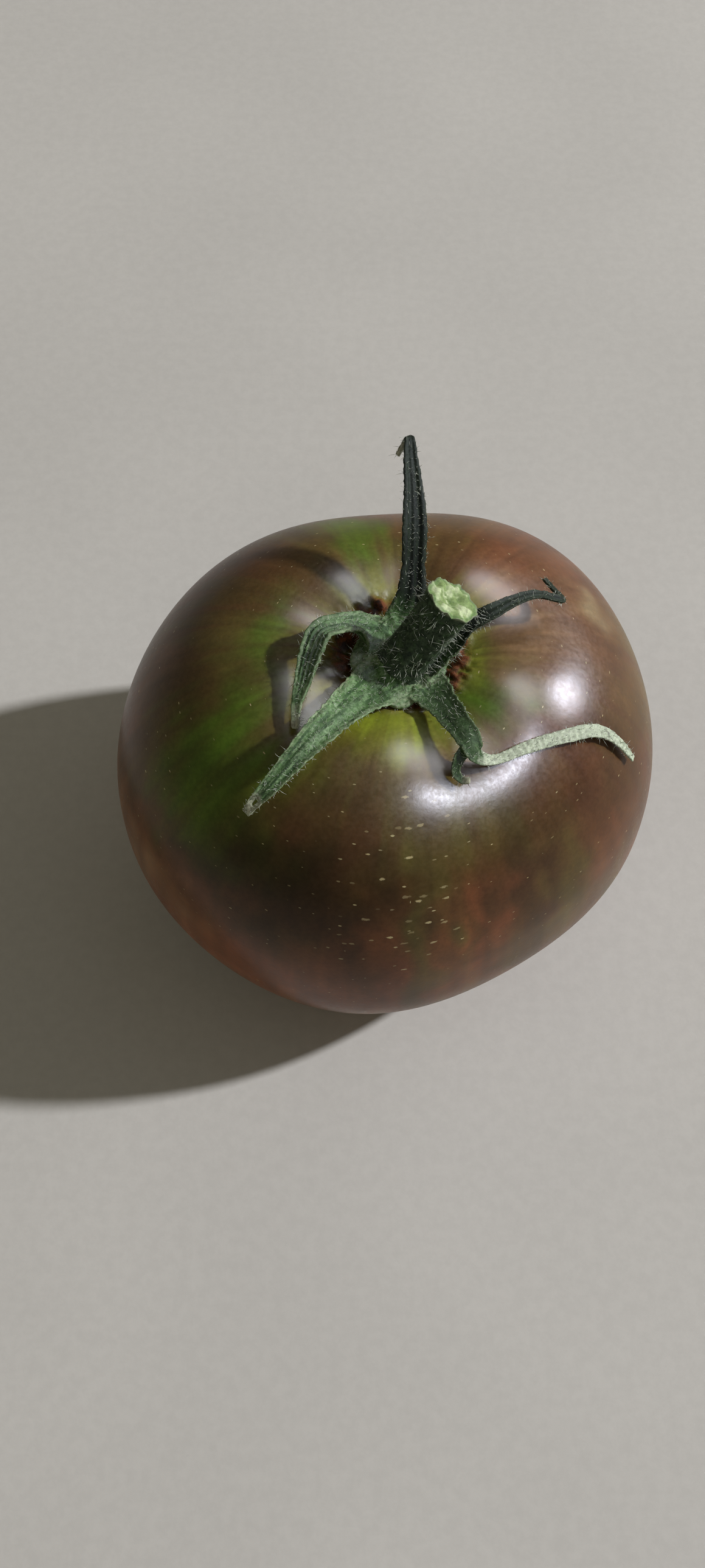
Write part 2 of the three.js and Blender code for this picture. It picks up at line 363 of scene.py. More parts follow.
@dataclass(frozen=True)
class SkinFinish:
    """Satin tomato skin: mesh colour, partly painted shade and sheen, pale flecks drawn out round the fruit, and a
    fine relief.
    """

    roughness: float = 0.31
    fleck_cell: float = 1.5
    fleck_length: float = 0.47
    fleck_width: float = 0.19
    fleck_sizes: tuple[float, float] = (0.55, 1.2)
    sparse_share: tuple[float, float] = (0.3, 0.6)
    sparse_size: float = 0.4
    fleck_edge: float = 0.55
    fleck_depths: tuple[float, float] = (0.3, 0.45)
    fleck_strengths: tuple[float, float] = (0.3, 0.9)
    pebble: float = 0.42
    pebble_depth: float = 0.012
    swell: float = 2.6
    swell_depth: float = 0.03
    crust_depth: float = 0.35
    crust_roughness: float = 0.45
    gloss: float = 0.22
    crust_gloss: float = 0.04
    flesh_depth: float = 2.2

    def fleck_mask(self, kit: NodeKit, place: bpy.types.NodeSocket) -> bpy.types.NodeSocket:
        """Draws one short dash in some of the cells of a cell pattern.

        Args:
            kit: The material's nodes.
            place: The place on the object, in millimetres.

        Returns:
            A mask that is 1 on a fleck.
        """
        cells = kit.add("ShaderNodeTexVoronoi", {"Vector": place, "Scale": 1 / self.fleck_cell}, feature="F1")
        offset = kit.vector("SUBTRACT", place, cells.outputs["Position"])
        outward = kit.add("ShaderNodeNewGeometry", {}).outputs["Normal"]
        around = kit.vector("NORMALIZE", kit.vector("CROSS_PRODUCT", (0.0, 0.0, 1.0), place))
        down = kit.vector("CROSS_PRODUCT", outward, around)
        chance = kit.add("ShaderNodeSeparateColor", {0: cells.outputs["Color"]})
        share = kit.read("fleck_share")
        crowded = kit.rise(share, *self.sparse_share, self.sparse_size, 1.0)
        size = kit.times(kit.rise(chance.outputs[1], 0.0, 1.0, *self.fleck_sizes), crowded)
        ragged = kit.spread(kit.grain(place, 0.22), 0.75, 1.3)
        long_way = kit.sum("DIVIDE", kit.dot(offset, around), self.fleck_length)
        short_way = kit.sum("DIVIDE", kit.dot(offset, down), self.fleck_width)
        reach = kit.sum("SQRT", kit.sum("ADD", kit.sum("POWER", long_way, 2.0), kit.sum("POWER", short_way, 2.0)))
        dash = kit.rise(kit.times(kit.sum("DIVIDE", reach, size), ragged), self.fleck_edge, 1.0, 1.0, 0.0)
        near = kit.rise(kit.sum("ABSOLUTE", kit.dot(offset, outward)), *self.fleck_depths, 1.0, 0.0)
        drawn = kit.sum("LESS_THAN", chance.outputs[0], share)
        strength = kit.rise(chance.outputs[2], 0.0, 1.0, *self.fleck_strengths)
        return kit.times(kit.times(dash, near), kit.times(drawn, strength))

    def material(self) -> bpy.types.Material:
        """Builds the skin's material."""
        kit = NodeKit("tomato_skin")
        place = kit.millimetres()
        cork = kit.read("cork")
        fine = kit.grain(place, 0.35, 3.0, 0.65)
        broad = kit.grain(place, 2.2, 3.0, 0.6)
        shade = kit.times(kit.spread(fine, 0.9, 1.1), kit.spread(broad, 0.9, 1.1))
        # the mesh colour is pigment, with painted shade and painted sheen in a few patches
        shaded = kit.scaled(kit.read("pigment_and_light", "Color"), shade)
        flecked = kit.mix(self.fleck_mask(kit, place), shaded, opaque(Pigment.FLECK))
        crust = kit.grain(place, 0.7, 4.0, 0.7)
        cork_tone = kit.mix(kit.rise(crust, 0.35, 0.65), opaque(Pigment.DARK_AND_SHADE), opaque(Pigment.CORK))
        colour = kit.mix(cork, flecked, cork_tone)
        pebbles = kit.grain(place, self.pebble, 2.0, 0.6)
        relief = kit.bump(kit.grain(place, self.swell, 1.0), self.swell_depth)
        relief = kit.bump(pebbles, self.pebble_depth, relief)
        relief = kit.bump(kit.times(crust, cork), self.crust_depth, relief)
        satin = kit.spread(fine, self.roughness - 0.03, self.roughness + 0.04)
        rough = kit.sum("ADD", satin, kit.times(cork, self.crust_roughness))
        return kit.finish({
            "Base Color": colour,
            "Roughness": rough,
            "Normal": relief,
            "IOR": 1.45,
            "Specular IOR Level": kit.rise(cork, 0.0, 0.6, self.gloss, self.crust_gloss),
            "Subsurface Weight": 0.4,
            "Subsurface Radius": (1.0, 0.5, 0.2),
            "Subsurface Scale": self.flesh_depth * MM,
        })


@dataclass(frozen=True)
class LeafFinish:
    """Matt leaf skin with frosty mottling, for the calyx and the stalk's side."""

    name: str
    roughness: float = 0.68
    sheen: float = 0.06
    mottle: float = 0.3
    relief_depth: float = 0.05
    gloss: float = 0.12
    flesh_depth: float = 0.5

    def material(self) -> bpy.types.Material:
        """Builds the leaf's material."""
        kit = NodeKit(self.name)
        place = kit.millimetres()
        mottle = kit.grain(place, self.mottle, 3.0, 0.65)
        fine = kit.grain(place, 0.16, 2.0, 0.6)
        frost = kit.times(kit.rise(mottle, 0.3, 0.75), kit.read("frost"))
        frosted = kit.mix(frost, kit.read("tint", "Color"), opaque(Greenery.FROST))
        colour = kit.scaled(frosted, kit.times(kit.spread(fine, 0.85, 1.15), kit.rise(mottle, 0.3, 0.6, 0.88, 1.1)))
        relief = kit.bump(mottle, self.relief_depth)
        relief = kit.bump(fine, self.relief_depth * 0.6, relief)
        return kit.finish({
            "Base Color": colour,
            "Roughness": self.roughness,
            "Normal": relief,
            "IOR": 1.4,
            "Specular IOR Level": self.gloss,
            "Sheen Weight": self.sheen,
            "Sheen Roughness": 0.4,
            "Sheen Tint": (0.8, 0.9, 0.75, 1.0),
            "Subsurface Weight": 0.08,
            "Subsurface Radius": (0.5, 0.9, 0.3),
            "Subsurface Scale": self.flesh_depth * MM,
        })


@dataclass(frozen=True)
class HairFinish:
    """Fine whitish plant hair, greener at its root."""

    roughness: float = 0.45
    root_shade: float = 0.5

    def material(self) -> bpy.types.Material:
        """Builds the hair's material."""
        kit = NodeKit("plant_hair")
        root_tone = (*(self.root_shade * np.array(Greenery.FROST.value)), 1.0)
        tone = kit.grain(kit.millimetres(), 1.5)
        pale = kit.mix(kit.rise(tone, 0.35, 0.65), opaque(Greenery.MARGIN), opaque(Greenery.HAIR))
        colour = kit.mix(kit.rise(kit.read("tip"), 0.0, 0.6), root_tone, pale)
        return kit.finish({
            "Base Color": colour,
            "Roughness": self.roughness,
            "IOR": 1.45,
            "Transmission Weight": 0.15,
        })


@dataclass(frozen=True)
class FloorFinish:
    """A plain pale matt board with a faint grain."""

    colour: tuple[float, float, float] = (0.556, 0.551, 0.54)
    roughness: float = 0.6
    gloss: float = 0.024
    tones: tuple[float, float] = (0.97, 1.03)
    relief_depth: float = 0.01

    def material(self) -> bpy.types.Material:
        """Builds the floor's material."""
        kit = NodeKit("pale_floor")
        place = kit.millimetres()
        fine = kit.spread(kit.grain(place, 1.1, 4.0, 0.7), *self.tones)
        broad = kit.spread(kit.grain(place, 35.0, 2.0), *self.tones)
        return kit.finish({
            "Base Color": kit.scaled(self.colour, kit.times(fine, broad)),
            "Roughness": self.roughness,
            "Normal": kit.bump(kit.grain(place, 0.5, 3.0), self.relief_depth),
            "Specular IOR Level": self.gloss,
        })


@dataclass(frozen=True)
class Blush:
    """A soft patch of one colour, at an azimuth from +X and an angle from the bottom pole, with its half sizes."""

    pigment_and_light: Pigment
    # the patch's colour: pigment in most patches, painted shade or painted sheen in a few
    azimuth: float
    angle: float
    around: float
    down: float
    strength: float


@dataclass
class Fruit:
    """The fruit: a squat lobed body with a hollow at the stalk, and its skin."""

    radius: float = 34.5
    belly_depth: float = 25.9
    shoulder_rise: float = 31.4
    body_roundness: float = 0.92
    height_roundness: float = 0.86
    crown_lean: float = 1.6
    hollow_depth: float = 7.0
    hollow_radius: float = 11.0
    furrow_depth: float = 1.2
    furrow_radius: float = 13.0
    furrow_count: int = 5
    lobe_azimuth: float = 51.6
    outline_waves: tuple[tuple[int, float, float], ...] = (
        (2, 0.044, 18.7), (3, 0.0141, 26.7), (4, 0.0068, -32.3), (5, 0.0114, 51.6),
    )
    cork_radius: float = 6.9
    cork_width: float = 0.9
    cork_rise: float = 0.45
    cork_waves: int = 11
    cork_unevenness: float = 0.25
    cork_roughness: float = 0.5
    crust_width: float = 1.5
    scar_radius: float = 1.7
    scar_depth: float = 0.7
    scar_unevenness: float = 0.15
    cork_spread: tuple[float, float, float] = (1.5, 0.8, 1.4)
    fleck_azimuth: float = -86.0
    fleck_spread: float = 13.0
    fleck_start: tuple[float, float] = (92.0, 112.0)
    fleck_end: tuple[float, float] = (156.0, 142.0)
    fleck_shares: tuple[float, float] = (0.3, 0.48)
    rows: int = 232
    spot_rows: int = 10
    columns: int = 360
    row_crowding: float = 0.35
    arc_per_degree: float = 0.6
    halo_angle: float = 165.0
    halo_fade: float = 5.0
    halo_wander: tuple[float, float] = (3.2, 1.8)
    streak_stretch: float = 0.13
    warp: float = 2.0
    least_reach: float = 4.0
    blush_streaks: float = 0.25
    tone_shares: tuple[float, float, float] = (0.1, 0.07, 0.08)
    finish: SkinFinish = field(default_factory=SkinFinish)
    blushes: tuple[Blush, ...] = (
        Blush(Pigment.RED_BROWN, -135, 92, 26, 9, 0.85),
        Blush(Pigment.RUST, -132, 88, 20, 8, 0.5),
        Blush(Pigment.RUST, -155, 98, 14, 7, 0.7),
        # painted reflection: these two pale patches light the bottom rim, standing in for the floor's reflection
        Blush(Pigment.PALE_AND_SHEEN, -150, 97, 12, 5, 0.4),
        Blush(Pigment.PALE_AND_SHEEN, -42, 95, 12, 4, 0.3),
        # painted sheen: this pale patch lightens the top back, where a highlight's haze lies
        Blush(Pigment.PALE_AND_SHEEN, 68, 139, 14, 6, 0.35),
        # painted highlight: this pale patch is the haze beside the front highlight
        Blush(Pigment.PALE_AND_SHEEN, -95, 148, 6, 3.5, 0.35),
        Blush(Pigment.RED_BROWN, 45, 142, 36, 14, 0.65),
        Blush(Pigment.RUST, 58, 152, 10, 7, 0.2),
        Blush(Pigment.OLIVE, 72, 150, 5, 9, 0.5),
        Blush(Pigment.BROWN, 0, 135, 16, 9, 0.5),
        # painted shade: near-black on the front-left flank, which is turned from the key light
        Blush(Pigment.DARK_AND_SHADE, -114, 119, 26, 11, 0.92),
        Blush(Pigment.DARK_AND_SHADE, -70, 118, 24, 10, 0.5),
        Blush(Pigment.DARK_AND_SHADE, -122, 128, 9, 6, 0.6),
        Blush(Pigment.DARK_AND_SHADE, -38, 115, 16, 13, 0.7),
        # painted shade: darkens the left back, which is turned from the key light
        Blush(Pigment.DARK_AND_SHADE, 150, 132, 18, 9, 0.45),
        Blush(Pigment.OLIVE, -150, 150, 12, 9, 0.8),
        Blush(Pigment.LEAF_GREEN, -148, 142, 7, 9, 0.75),
        Blush(Pigment.LEAF_GREEN, -146, 128, 9, 8, 0.55),
        Blush(Pigment.OLIVE, -82, 104, 3, 20, 0.7),
        Blush(Pigment.RUST, -68, 100, 2.6, 17, 0.45),
        Blush(Pigment.RUST, -77, 98, 1.6, 15, 0.4),
        Blush(Pigment.RUST, -90, 96, 2.2, 14, 0.4),
        Blush(Pigment.RED_BROWN, -100, 94, 5.0, 12, 0.6),
        Blush(Pigment.RED_BROWN, -33, 108, 12.0, 9, 0.45),
        Blush(Pigment.OLIVE, -45, 104, 3.5, 13, 0.65),
        Blush(Pigment.DARK_AND_SHADE, -55, 110, 3, 12, 0.4),
        Blush(Pigment.DARK_AND_SHADE, -95, 104, 3, 12, 0.4),
        Blush(Pigment.OLIVE, -72, 140, 9, 6, 0.6),
        Blush(Pigment.OLIVE, -76, 130, 8, 5, 0.45),
        Blush(Pigment.OLIVE, 110, 146, 7, 9, 0.75),
        Blush(Pigment.LEAF_GREEN, 104, 152, 4, 6, 0.6),
        Blush(Pigment.LEAF_GREEN, 108, 138, 5, 5, 0.5),
        Blush(Pigment.OLIVE, 168, 157, 9, 5, 0.8),
        Blush(Pigment.LEAF_GREEN, 172, 156, 5, 3, 0.5),
        Blush(Pigment.PALE_AND_SHEEN, 21, 133, 2.6, 3.2, 0.6),
        # partly pale skin, partly painted sheen: the haze round the key highlight on the right shoulder
        Blush(Pigment.PALE_AND_SHEEN, 10, 155, 9, 6, 0.45),
        Blush(Pigment.HALO, -95, 163, 9, 4.5, 0.9),
        Blush(Pigment.OLIVE, -30, 161, 8, 5, 0.85),
        Blush(Pigment.LEAF_GREEN, -38, 163, 5, 5, 0.9),
        Blush(Pigment.HALO, -20, 168, 6, 3, 0.5),
        # partly red-brown skin, partly painted light: these two lighten the skin right of the stalk
        Blush(Pigment.RUST, 6, 157, 4.5, 3.5, 0.5),
        Blush(Pigment.PALE_AND_SHEEN, 6, 157, 4.5, 3.5, 0.45),
    )

    def skin(self, angle: np.ndarray, azimuth: np.ndarray) -> tuple[np.ndarray, np.ndarray]:
        """Finds points of the skin, as the part's source does.

        Args:
            angle: Angles from the bottom pole, in radians.
            azimuth: Azimuths from +X, in radians.

        Returns:
            The points, one a row, and how far each is from the upright axis.
        """
        across = np.sin(angle)
        along = np.cos(angle)
        swell = 1.0 + sum(
            share * np.cos(waves * (azimuth - math.radians(crest))) for waves, share, crest in self.outline_waves
        )
        reach = self.radius * across**self.body_roundness * swell
        height = np.abs(along) ** self.height_roundness
        upper = along < 0
        z = self.belly_depth + np.where(upper, self.shoulder_rise * height, -self.belly_depth * height)
        furrow = 0.5 - 0.5 * np.cos(self.furrow_count * (azimuth - math.radians(self.lobe_azimuth)))
        nearness = (reach / self.furrow_radius) ** 2
        lumps = 1 - self.cork_unevenness + self.cork_unevenness * np.cos(self.cork_waves * azimuth)
        hollow = self.hollow_depth * np.exp(-((reach / self.hollow_radius) ** 2))
        hollow = hollow + self.furrow_depth * furrow * nearness * np.exp(1 - nearness)
        ring = self.cork_rise * lumps * np.exp(-(((reach - self.cork_radius) / self.cork_width) ** 2))
        z = z + np.where(upper, ring - hollow, 0.0)
        lean = np.where(upper, self.crown_lean * along**2, 0.0)
        z = np.maximum(z, FLAT_CUT)
        points = np.stack([reach * np.cos(azimuth) + lean, reach * np.sin(azimuth), z], axis=-1)
        return points, reach

    def angles(self) -> np.ndarray:
        """The angle of each row of points, from the flat spot's middle to the hollow's."""
        flat_angle = math.acos((1 - FLAT_CUT / self.belly_depth) ** (1 / self.height_roundness))
        spot = flat_angle * np.arange(1, self.spot_rows) / self.spot_rows
        share = np.arange(self.rows) / self.rows
        crowded = (1 + self.row_crowding) * share - self.row_crowding * share**2
        return np.concatenate([spot, flat_angle + (math.pi - flat_angle) * crowded])

    def pigments(self, points: np.ndarray, angle: np.ndarray, azimuth: np.ndarray, reach: np.ndarray) -> np.ndarray:
        """Mixes the skin's colour at each point, with painted shade and painted sheen in a few patches.

        Args:
            points: The skin's points.
            angle: Their angles from the bottom pole, in degrees.
            azimuth: Their azimuths, in degrees.
            reach: How far each is from the axis.

        Returns:
            One linear colour a point.
        """
        radians = np.radians(azimuth)
        arc = angle * self.arc_per_degree
        meridian = np.stack([
            self.radius * np.cos(radians), self.radius * np.sin(radians), self.streak_stretch * arc
        ], axis=-1)
        streaks = Clouds(3, 5.0).at(meridian)
        threads = Clouds(4, 1.7).at(meridian)
        broad = Clouds(5, 26.0).at(points)
        patches = Clouds(6, 11.0).at(points)
        blotchy, streaky = self.halo_wander
        wander = blotchy * Clouds(7, 12.0).at(points) + streaky * streaks
        halo = (self.halo_angle - self.halo_fade, self.halo_angle + self.halo_fade)
        colour = paint(
            coat(Pigment.BROWN, len(points)),
            (Pigment.RED_BROWN, steady(broad + 0.4 * streaks, -0.5, 0.7) * 0.75),
            (Pigment.OLIVE, steady(streaks - 0.5 * broad, 0.1, 0.9) * 0.6),
            (Pigment.RUST, steady(80 - angle + 18 * patches, -10, 35) * 0.35),
            (Pigment.HALO, steady(angle + wander, *halo)),
        )
        warp_around, warp_down = (self.warp * Clouds(seed, 9.0).at(points) for seed in (8, 9))
        for blush in self.blushes:
            turn = (azimuth - blush.azimuth + 180) % 360 - 180
            beside = (np.radians(turn) * np.maximum(reach, self.least_reach) + warp_around) / blush.around
            below = ((angle - blush.angle) * self.arc_per_degree + warp_down) / blush.down
            share = np.exp(-(beside**2) - below**2) * (1 + self.blush_streaks * streaks)
            colour = paint(colour, (blush.pigment_and_light, blush.strength * share))
        wide, narrow, blotched = self.tone_shares
        return colour * (1 + wide * streaks + narrow * threads + blotched * patches)[:, None]

    def build(self) -> None:
        """Builds and dresses the piece that stands for the fruit's node."""
        rows = self.angles()
        angle, azimuth = (grid.ravel() for grid in np.meshgrid(rows, full_turn(self.columns), indexing="ij"))
        points, reach = self.skin(angle, azimuth)
        ends, _ = self.skin(np.array([0.0, math.pi]), np.zeros(2))
        points = np.concatenate([points, ends])
        reach = np.concatenate([reach, [0.0, 0.0]])
        angle = np.concatenate([angle, [0.0, math.pi]])
        azimuth = np.concatenate([azimuth, [0.0, 0.0]])
        upper = angle > math.pi / 2
        crust = Clouds(11, 2.4).at(points)
        near_ring = np.exp(-(((reach - self.cork_radius) / self.crust_width) ** 2)) * upper
        points[:, 2] += self.cork_roughness * crust * near_ring
        scar = np.exp(-((reach / self.scar_radius) ** 2)) * ~upper
        points[:, 2] += self.scar_depth * scar * (1 + self.scar_unevenness * crust)
        degrees = np.degrees(angle)
        around = (np.degrees(azimuth) + 180) % 360 - 180
        beside = np.exp(-(((around - self.fleck_azimuth) / self.fleck_spread) ** 2))
        band = beside * steady(degrees, *self.fleck_start) * steady(degrees, *self.fleck_end)
        sparse, extra = self.fleck_shares
        on_ring, uneven, on_scar = self.cork_spread
        cork = np.clip(near_ring * on_ring + uneven * crust * near_ring, 0, 1) + np.clip(scar * on_scar, 0, 1)
        last = len(points)
        faces = ring_faces(len(rows), self.columns)
        top = (len(rows) - 1) * self.columns
        for column in range(self.columns):
            after = (column + 1) % self.columns
            faces.append((last - 2, after, column))
            faces.append((top + column, top + after, last - 1))
        piece = Piece(
            "tomato_fruit",
            points,
            faces,
            {"pigment_and_light": self.pigments(points, degrees, around, reach)},
            {"cork": np.clip(cork, 0, 1), "fleck_share": sparse + extra * band},
        )
        made = piece.make(self.finish.material())
        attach(made, BODY)
        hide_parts("fruit")
        log.info("fruit: %d faces", len(faces))


@dataclass(frozen=True)
class Sepal:
    """One sepal, as rows of x, y, z, width and roll down its middle line, and how it is folded and dried."""

    rows: tuple[tuple[float, float, float, float, float], ...]
    folds: float = 1.0
    fold_depth: float = 0.1
    dry_from: float = 0.9
    dry_to: float = 1.0
    # How dark the sepal is drawn; on the back and right sepals the low tone is painted shade.
    tone: float = 1.0
    slit: tuple[float, float] | None = None
    dry_tone: Greenery = Greenery.DRY
    ribs: int = 0
    rib_depth: float = 0.05
    nudge: float = 1e-4

    def centre(self, share: np.ndarray) -> np.ndarray:
        """Follows the centripetal spline through the rows' points, as the part's source does.

        Args:
            share: How far along the rows, from 0 to 1.

        Returns:
            One point a share.
        """
        knots = np.array([row[:3] for row in self.rows])
        padded = np.array([2 * knots[0] - knots[1], *knots, 2 * knots[-1] - knots[-2]])
        place = np.clip(share, 0, 1) * (len(knots) - 1)
        span = np.minimum(place.astype(int), len(knots) - 2)
        rest = (place - span)[:, None]
        before, start, stop, after = (padded[span + step] for step in range(4))
        gaps = [
            np.sqrt(np.linalg.norm(b - a, axis=1, keepdims=True))
            for a, b in ((before, start), (start, stop), (stop, after))
        ]
        leave = (start - before) / gaps[0] - (stop - before) / (gaps[0] + gaps[1]) + (stop - start) / gaps[1]
        leave = leave * gaps[1]
        arrive = (stop - start) / gaps[1] - (after - start) / (gaps[1] + gaps[2]) + (after - stop) / gaps[2]
        arrive = arrive * gaps[1]
        square = -3 * start + 3 * stop - 2 * leave - arrive
        cube = 2 * start - 2 * stop + leave + arrive
        return start + leave * rest + square * rest**2 + cube * rest**3

    def frame_at(self, share: np.ndarray, heart: np.ndarray) -> tuple[np.ndarray, ...]:
        """Finds the blade's middle, side and face directions, and its width.

        Args:
            share: How far along the rows, from 0 to 1.
            heart: The point that the face turns away from.

        Returns:
            The centres, sides, faces and widths.
        """
        centre = self.centre(share)
        forward = unit(self.centre(share + self.nudge) - self.centre(share - self.nudge))
        knots = np.arange(len(self.rows))
        place = share * (len(self.rows) - 1)
        width = np.interp(place, knots, [row[3] for row in self.rows])
        roll = np.radians(np.interp(place, knots, [row[4] for row in self.rows]))[:, None]
        out = centre - heart
        out = unit(out - forward * (out * forward).sum(axis=1, keepdims=True))
        face = out * np.cos(roll) + np.cross(forward, out) * np.sin(roll)
        return centre, np.cross(forward, face), face, width


@dataclass
class Stalk:
    """The leaning stalk stub with its ridges and its pale cut end."""

    foot: tuple[float, float, float] = (1.2, -2.2, 52.6)
    top: tuple[float, float, float] = (7.4, 0.5, 62.9)
    radius: float = 2.95
    flare: float = 0.45
    foot_fade: float = 7.0
    cut_fade: float = 6.0
    ridges: int = 6
    ridge_depth: float = 0.14
    start: float = 0.6
    fibre_depth: float = 0.08
    fibre_radius: float = 3.0
    fibre_stretch: float = 0.12
    side_inset: float = 0.09
    ragged_depth: float = 0.22
    ragged_reach: float = 0.5
    rim: tuple[float, float] = (0.55, 0.1)
    frost: float = 0.12
    rows: int = 70
    columns: int = 96
    cut_rings: int = 16
    cut_inset: float = 0.1
    cut_relief: float = 0.13
    cut_edge: float = 0.95
    pith_drop: float = 0.28
    vessel_rise: float = 0.14
    vessel_ring: tuple[float, float] = (0.62, 0.1)
    green_ring: tuple[float, float] = (0.9, 0.05)
    finish: LeafFinish = field(default_factory=lambda: LeafFinish("stalk_skin", roughness=0.72, sheen=0.08))

    @property
    def length(self) -> float:
        """The stalk's length, foot to cut."""
        return math.dist(self.foot, self.top)

    def axes(self) -> tuple[np.ndarray, np.ndarray, np.ndarray]:
        """The directions along the stalk, to its side and across both."""
        axis = unit(np.array(self.top) - np.array(self.foot))
        side = unit(np.cross([0.0, 0.0, 1.0], axis))
        return axis, side, np.cross(axis, side)

    def ring_radius(self, share: np.ndarray, turn: np.ndarray) -> np.ndarray:
        """The radius at a share of the length and a turn round the axis."""
        flare = np.exp(-share * self.foot_fade) + np.exp((share - 1) * self.cut_fade)
        return self.radius + self.flare * flare + self.ridge_depth * np.cos(self.ridges * turn)

    def place(self, along: np.ndarray, turn: np.ndarray, radius: np.ndarray) -> np.ndarray:
        """Finds points round the axis.

        Args:
            along: Their distances along the axis, from the foot.
            turn: Their turns round it, in radians.
            radius: Their distances from it.

        Returns:
            The points.
        """
        axis, side, other = self.axes()
        centre = np.array(self.foot) + axis * np.asarray(along)[..., None]
        spoke = side * np.cos(turn)[..., None] + other * np.sin(turn)[..., None]
        return centre + spoke * np.asarray(radius)[..., None]

    def side_grid(self) -> tuple[np.ndarray, np.ndarray, np.ndarray]:
        """Lays out the stalk's side.

        Returns:
            The distance along, turn and radius of each point, row by row.
        """
        distances = self.start + (self.length - self.start) * (np.arange(self.rows) / (self.rows - 1))
        along, turn = (grid.ravel() for grid in np.meshgrid(distances, full_turn(self.columns), indexing="ij"))
        radius = self.ring_radius(along / self.length, turn)
        spoke = self.fibre_radius * np.stack([np.cos(turn), np.sin(turn)])
        fibres = Clouds(21, 0.9).at(np.stack([*spoke, self.fibre_stretch * along], axis=-1))
        radius = radius - self.side_inset + self.fibre_depth * fibres
        near_cut = np.exp((along - self.length) / self.ragged_reach)
        ragged = Clouds(22, 1.2).at(np.stack([*spoke, 0 * turn], axis=-1))
        along = along - near_cut * self.ragged_depth * (1 + ragged)
        return along, turn, radius

    def cut_ring(
        self, share: float, along: np.ndarray, turn: np.ndarray, radius: np.ndarray
    ) -> tuple[np.ndarray, np.ndarray]:
        """Makes one ring of the cut face, with its marks.

        Args:
            share: The ring's share of the way from the middle to the rim.
            along: How far along the axis each point of the rim is.
            turn: Its turn round the axis.
            radius: Its distance from the axis.

        Returns:
            The ring's points and colours.
        """
        level = self.place(self.length * np.ones(self.columns), turn, radius * share)
        relief = Clouds(24, 1.5, octaves=3).at(level)
        pith = steady(np.array(share), 0.5, 0.3)
        vessel = np.exp(-(((share - self.vessel_ring[0]) / self.vessel_ring[1]) ** 2))
        green = np.exp(-(((share - self.green_ring[0]) / self.green_ring[1]) ** 2))
        drop = (along - self.length) * share**4 - self.pith_drop * pith + self.vessel_rise * vessel
        drop = drop + self.cut_relief * relief * (share < self.cut_edge)
        points = self.place(self.length + drop - self.cut_inset, turn, radius * share)
        patches = Clouds(25, 2.6).at(points)
        return points, paint(
            coat(Greenery.CUT_FLESH, self.columns),
            (Greenery.CUT_FIBRE, 0.6 * vessel * steady(patches, -0.5, 0.5)),
            (Greenery.CUT_PITH, pith * steady(relief, 0.5, -0.5)),
            (Greenery.CUT_FIBRE, 0.85 * steady(patches + 0.5 * relief, 0.0, 0.8)),
            (Greenery.FRESH, 0.75 * green),
        )

    def build(self) -> None:
        """Builds and dresses the piece that stands for the stalk's node."""
        along, turn, radius = self.side_grid()
        side = self.place(along, turn, radius)
        rim = steady(along, *(self.length - inset for inset in self.rim))
        tint = paint(
            coat(Greenery.STALK_SKIN, len(turn)),
            (Greenery.FRESH, 0.2 * steady(Clouds(23, 1.4).at(side), 0.2, 1.0)),
            (Greenery.MARGIN, 0.75 * rim),
        )
        edge = [values[-self.columns:] for values in (along, turn, radius)]
        rings = [self.cut_ring(1 - ring / self.cut_rings, *edge) for ring in range(1, self.cut_rings + 1)]
        faces = ring_faces(self.rows + self.cut_rings, self.columns, first_cap=True)
        piece = Piece(
            "stalk_stub",
            np.concatenate([side, *(points for points, _ in rings)]),
            faces,
            {"tint": np.concatenate([tint, *(colours for _, colours in rings)])},
            {"frost": np.concatenate([self.frost * (1 - rim), np.zeros(self.cut_rings * self.columns)])},
        )
        made = piece.make(self.finish.material())
        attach(made, BODY)
        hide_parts("stalk")
        log.info("stalk: %d faces", len(faces))


